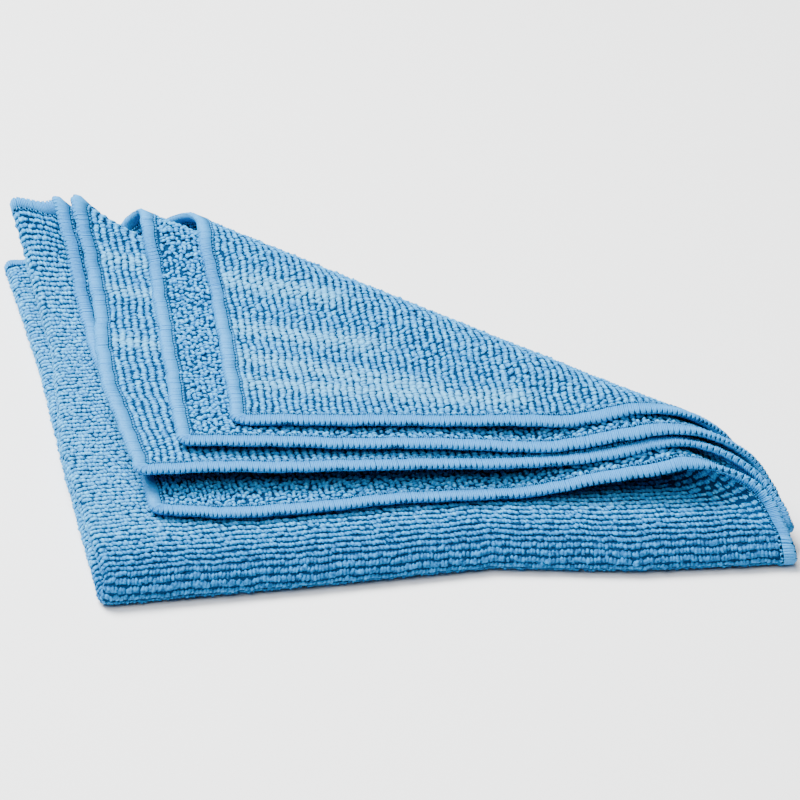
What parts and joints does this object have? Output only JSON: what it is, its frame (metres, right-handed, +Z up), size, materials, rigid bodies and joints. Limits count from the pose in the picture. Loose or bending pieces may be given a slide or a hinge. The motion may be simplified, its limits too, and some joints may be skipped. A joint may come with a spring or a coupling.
{
  "type": "folded microfibre cloth",
  "caption": "Square microfibre cleaning cloth folded in quarters, its free corners turned back on the diagonal and fanned out, with a ribbed looped face and an overlocked hem.",
  "frame": {"origin": "on the surface the cloth lies on, under the middle of its bounding box", "axes": "+X along the front folded edge from the closed corner, +Y towards the back, +Z up"},
  "size_m": [0.2214, 0.207, 0.0374],
  "materials": {
    "microfibre_blue": "matte looped microfibre"
  },
  "bodies": {
    "root": {"microfibre_cloth": "microfibre_blue"}
  },
  "joints": []
}
